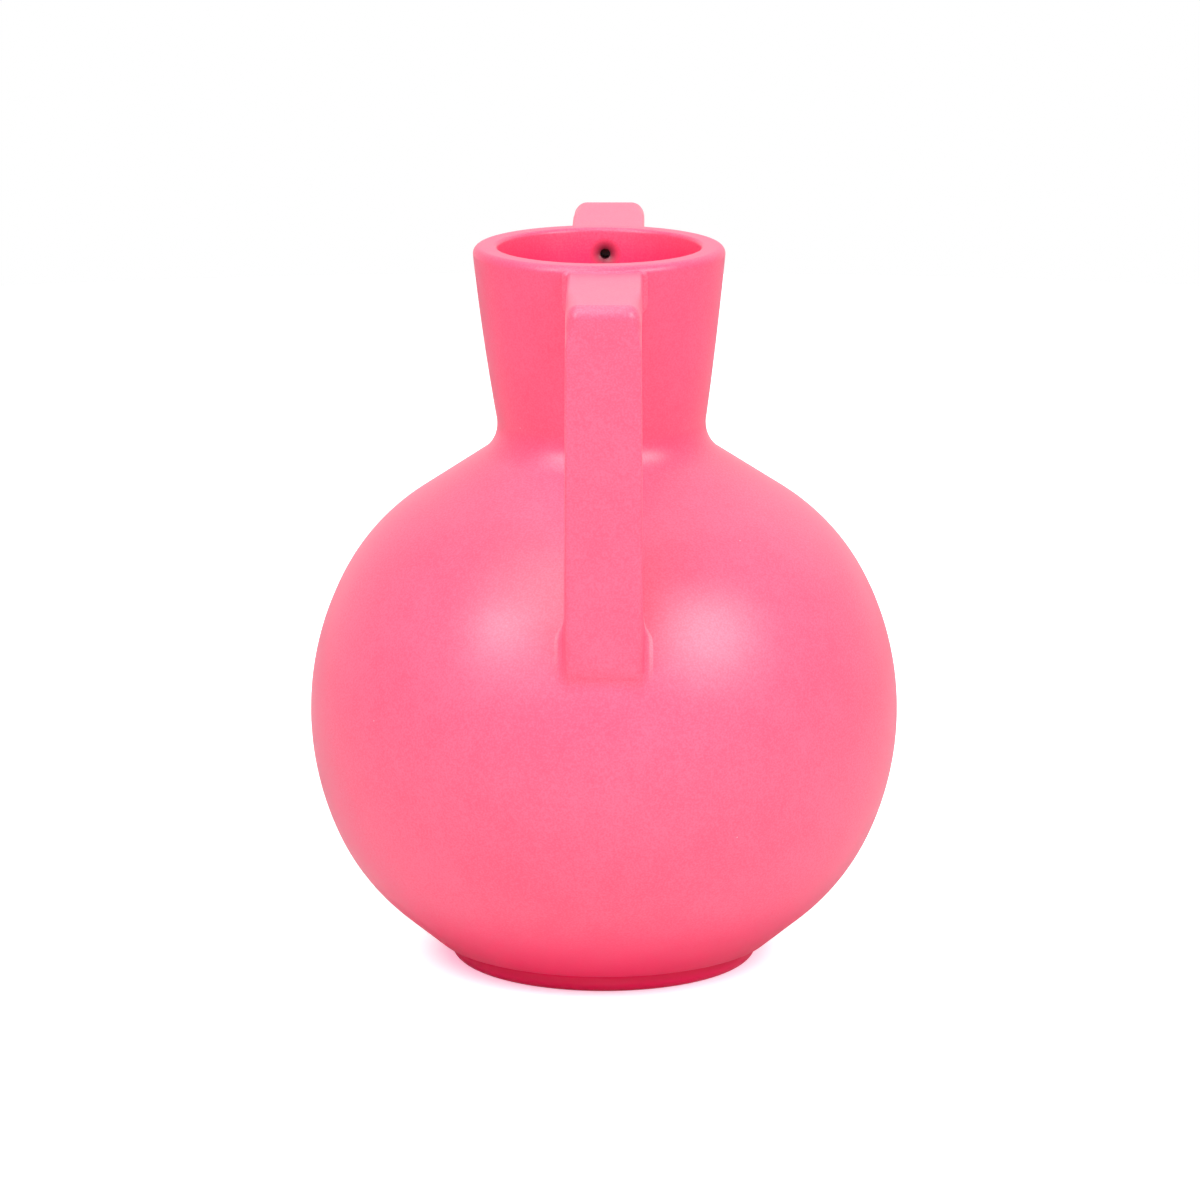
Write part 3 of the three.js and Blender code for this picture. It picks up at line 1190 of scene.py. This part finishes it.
    def _roll(self, key: Joint, radius: float, ray: Ray, measure: Measure) -> None:
        """Rolls a ball along the strap's side until it touches a wall, and keeps where it stops.

        Args:
            key: Name of the joint, and the place in the section.
            radius: Radius of the ball.
            ray: The ball's way.
            measure: Gives the distance to the wall and its outward direction.
        """
        low, high = 0.0, ray.length
        for _ in range(ROLL_HALVINGS):
            middle = (low + high) / 2
            gap, _ = self._measured(measure, ray.at(middle))
            low, high = (middle, high) if gap > radius else (low, middle)
        centre = ray.at(low)
        self.rolled[key] = centre, self._measured(measure, centre)[1]

    def _measured(self, measure: Measure, point: Vector) -> tuple[float, Vector]:
        """Measures from a wall at the place that a point has on the strap's own side of the vase.

        Args:
            measure: Gives the distance to the wall and its outward direction.
            point: A point on the -Y side.

        Returns:
            The distance, and the outward direction on the -Y side.
        """
        turn = Vector((-self.side.value, -self.side.value, 1.0))
        gap, out = measure(point * turn)
        return gap, out * turn

    def _cove(self, key: Joint, radius: float, normal: Vector, step: int) -> Vector:
        """Finds a point on the cove that the rolled ball leaves between the strap and a wall.

        Args:
            key: Name of the joint, and the place in the section.
            radius: Radius of the ball.
            normal: Outward direction of the strap's side.
            step: Step along the cove, from 0 on the strap to cove_steps on the wall, and one more under it.

        Returns:
            The point.
        """
        centre, wall = self.rolled[key]
        if step > self.cove_steps:
            onward = (normal - wall * normal.dot(wall)).normalized()
            return centre - wall * (radius + self.end_sunk) + onward * self.end_onward
        share = step / self.cove_steps
        spread = math.acos(max(-1.0, min(1.0, normal.dot(wall))))
        toward = normal * math.sin((1 - share) * spread) + wall * math.sin(share * spread)
        return centre - toward * (radius / math.sin(spread))

    def _neck_root(self, place: Drawn, step: int) -> Vector:
        """Finds a point on the cove between the arm and the neck.

        Args:
            place: Place in the section as drawn.
            step: Step along the cove, from -1 inside the neck to cove_steps on the arm.

        Returns:
            The point, on the -Y side.
        """
        point = self._point(place, self.arm_edge)
        normal = Vector((point.out_w, 0.0, point.out_t))
        radius = self.neck_cove + (self.top_cove - self.neck_cove) * max(0.0, point.out_t) ** 2
        key = ("neck", place)
        if key not in self.rolled:
            away, length = self.neck_roll
            start = Vector((point.across + self.shift, -away, self.arm_top - point.depth)) + normal * radius
            self._roll(key, radius, Ray(start, Vector((0.0, 1.0, 0.0)), length), self.form.off_neck)
        return self._cove(key, radius, normal, self.cove_steps - step)

    def _body_root(self, place: Drawn, step: int) -> Vector:
        """Finds a point on the cove between the upright and the body.

        The outer face ends a little proud of the body, in a heel that tucks under. The cove is tight
        behind the strap and grows along its sides towards the heel.

        Args:
            place: Place in the section as drawn.
            step: Step along the cove, from 0 on the upright to cove_steps on the body, and one more.

        Returns:
            The point, on the -Y side.
        """
        point = self._point(place, self.landing_edge)
        lean = self.lean
        way = Vector((0.0, math.sin(lean), -math.cos(lean)))
        normal = Vector((point.out_w, -point.out_t * math.cos(lean), -point.out_t * math.sin(lean)))
        growth = ease((self.cove_starts_at - point.depth) / (self.cove_starts_at - self.cove_full_at))
        radius = self.inner_cove + (self.body_cove - self.inner_cove) * growth
        if point.out_t > 0:
            heel = self.heel_cove + self.heel_spread * point.across**2
            radius += (heel - radius) * point.out_t**2
            tuck = math.radians(self.heel_tuck) * point.out_t**2
            normal = normal * math.cos(tuck) + way * math.sin(tuck)
        key = ("body", place)
        if key not in self.rolled:
            down, length = self.body_roll
            reach, z = self._sharp_corner(point.depth)
            corner = Vector((point.across * self.width_low / self.width + self.shift, -reach, z))
            start = corner + normal * radius + way * down
            self._roll(key, radius, Ray(start, way, length), self.form.off_body)
        return self._cove(key, radius, normal, step)


@dataclass(frozen=True)
class Softbox:
    """One round soft lamp.

    Attributes:
        name: Name of the lamp.
        azimuth: Angle round the vase, from the front towards the right, in degrees.
        elevation: Angle above the vase, in degrees.
        size: Diameter of the lamp's face.
        power: Strength in watts.
        distance: Distance from the vase.
    """

    name: str
    azimuth: float
    elevation: float
    size: float
    power: float
    distance: float = 1.6

    def build(self, target: Vector) -> None:
        """Hangs the lamp and aims it.

        Args:
            target: The point that it is aimed at.
        """
        light = bpy.data.lights.new(self.name, "AREA")
        light.shape = "DISK"
        light.size = self.size
        light.energy = self.power
        lamp = bpy.data.objects.new(self.name, light)
        turn, rise = math.radians(self.azimuth), math.radians(self.elevation)
        away = Vector((math.sin(turn) * math.cos(rise), -math.cos(turn) * math.cos(rise), math.sin(rise)))
        lamp.location = target + away * self.distance
        lamp.rotation_euler = (-away).to_track_quat("-Z", "Y").to_euler()
        bpy.context.scene.collection.objects.link(lamp)


@dataclass
class Studio:
    """Pale floor, soft lamps and camera, with angles in degrees and a lens in millimetres."""

    sensor_width: float = 36.0
    focal_length: float = 190.05
    camera_distance: float = 2047.5 * MM
    camera_height: float = 593.8 * MM
    camera_pitch: float = 13.01
    camera_azimuth: float = 0.6
    camera_pan: float = 0.037
    camera_sees_to: float = 50.0
    floor_radius: float = 1.3
    floor_steps: int = 128
    floor_roughness: float = 0.9
    floor_colour: Colour = (0.82, 0.82, 0.82)
    floor_glow: Colour = (0.85, 0.85, 0.85)
    # Close to the foot the floor's glow is dimmer and pink: a painted contact shadow and painted pink light
    # from the vase.
    painted_contact_shade: Colour = (0.75, 0.30, 0.45)
    contact_shade_centre: tuple[float, float] = (-2 * MM, 2.5 * MM)
    contact_shade_from: float = 45 * MM
    contact_shade_to: float = 65 * MM
    ambient: float = 0.08
    target: Vector = field(default_factory=lambda: Vector((0.0, 0.0, 0.12)))
    lamps: tuple[Softbox, ...] = (
        Softbox("right_softbox", 55.0, 37.0, 0.9, 11.2),
        Softbox("front_right_softbox", 42.0, 32.0, 0.8, 6.0),
        Softbox("left_softbox", -50.0, 35.5, 0.3, 2.8),
        Softbox("broad_left_softbox", -50.0, 36.5, 0.6, 3.0),
        Softbox("front_left_softbox", -30.0, 35.0, 1.1, 5.0),
        Softbox("upper_left_softbox", -45.0, 62.0, 1.3, 9.5),
        Softbox("upper_front_left_softbox", -33.0, 62.0, 0.8, 2.0),
        Softbox("upper_front_softbox", 0.0, 62.0, 1.3, 2.6),
        Softbox("top_softbox", 0.0, 90.0, 1.3, 2.4),
        Softbox("rear_softbox", 180.0, 62.0, 1.3, 4.4),
        Softbox("rear_right_softbox", 135.0, 35.0, 1.1, 1.2),
    )

    def build(self) -> None:
        """Sets up the floor, the lamps, the surroundings and the camera."""
        self._floor()
        for lamp in self.lamps:
            lamp.build(self.target)
        self._surroundings()
        self._camera()
        bpy.context.scene.view_settings.view_transform = "Standard"

    def _floor(self) -> None:
        """Lays the floor, which looks white where no shadow falls."""
        bm = bmesh.new()
        bmesh.ops.create_circle(bm, cap_ends=True, segments=self.floor_steps, radius=self.floor_radius)
        mesh = bpy.data.meshes.new("studio_floor")
        bm.to_mesh(mesh)
        bm.free()
        floor = bpy.data.objects.new("studio_floor", mesh)
        bpy.context.scene.collection.objects.link(floor)
        material = bpy.data.materials.new("white_paper")
        material.use_nodes = True
        tree = material.node_tree
        paper = tree.nodes["Principled BSDF"]
        paper.inputs["Base Color"].default_value = (*self.floor_colour, 1.0)
        paper.inputs["Roughness"].default_value = self.floor_roughness
        paper.inputs["Specular IOR Level"].default_value = 0.0
        seen = add_node(tree, "LightPath").outputs["Is Camera Ray"]
        glow = add_node(tree, "Emission", {"Color": self._glow_colour(tree), "Strength": seen})
        both = add_node(tree, "AddShader", {0: paper.outputs["BSDF"], 1: glow.outputs["Emission"]})
        tree.links.new(both.outputs["Shader"], tree.nodes["Material Output"].inputs["Surface"])
        mesh.materials.append(material)

    def _glow_colour(self, tree: Tree) -> Socket:
        """Gives the floor a white glow, and close to the foot a dimmer pink one that paints the contact
        shadow and the pink light thrown from the vase.

        Args:
            tree: Node tree of the floor's material.

        Returns:
            The socket with the colour of the glow.
        """
        place = add_node(tree, "TexCoord").outputs["Object"]
        away = add_node(tree, "VectorMath", {0: place, 1: (*self.contact_shade_centre, 0.0)}, operation="DISTANCE")
        inputs = {"From Min": self.contact_shade_from, "From Max": self.contact_shade_to, "Value": away.outputs["Value"]}
        share = add_node(tree, "MapRange", inputs, interpolation_type="SMOOTHSTEP").outputs["Result"]
        inputs = {"Factor": share, "A": (*self.painted_contact_shade, 1.0), "B": (*self.floor_glow, 1.0)}
        return add_node(tree, "Mix", inputs, data_type="RGBA").outputs["Result"]

    def _surroundings(self) -> None:
        """Makes the surroundings: white to look at and in the glaze's shine, and a soft even light."""
        world = bpy.data.worlds.new("studio")
        world.use_nodes = True
        tree = world.node_tree
        rays = add_node(tree, "LightPath").outputs
        inputs = {0: rays["Is Glossy Ray"], 1: rays["Is Camera Ray"]}
        seen = add_node(tree, "Math", inputs, operation="MAXIMUM").outputs[0]
        level = add_node(tree, "MapRange", {"To Min": self.ambient, "To Max": 1.0, "Value": seen})
        ground = tree.nodes["Background"]
        ground.inputs["Color"].default_value = (1.0, 1.0, 1.0, 1.0)
        tree.links.new(level.outputs["Result"], ground.inputs["Strength"])
        bpy.context.scene.world = world

    def _camera(self) -> None:
        """Sets the camera at the photograph's viewing angle."""
        lens = bpy.data.cameras.new("camera")
        lens.sensor_width = self.sensor_width
        lens.lens = self.focal_length
        lens.clip_end = self.camera_sees_to
        camera = bpy.data.objects.new("camera", lens)
        turn = math.radians(self.camera_azimuth)
        camera.location = (
            self.camera_distance * math.sin(turn),
            -self.camera_distance * math.cos(turn),
            self.camera_height,
        )
        pan = math.radians(self.camera_azimuth + self.camera_pan)
        camera.rotation_euler = (math.radians(90 - self.camera_pitch), 0.0, pan)
        bpy.context.scene.collection.objects.link(camera)
        bpy.context.scene.camera = camera


def main() -> None:
    """Builds the vase piece by piece, and the studio round it."""
    logging.basicConfig(level=logging.INFO, format="%(name)s: %(message)s")
    form = VaseForm()
    glaze = SatinGlaze().material()
    pieces = [
        (GlobeBody(form), "globe_body"),
        (FootRing(form), "foot_ring"),
        (FlaringNeck(form), "neck_cone"),
        (StrapHandle(form, Side.FRONT), "front_handle"),
        (StrapHandle(form, Side.REAR), "rear_handle"),
    ]
    for maker, node in pieces:
        piece = maker.build()
        dress(piece, glaze, node)
        LOG.info("%s for %s: %d faces", piece.name, node, len(piece.data.polygons))
    Studio().build()


if __name__ == "__main__":
    main()
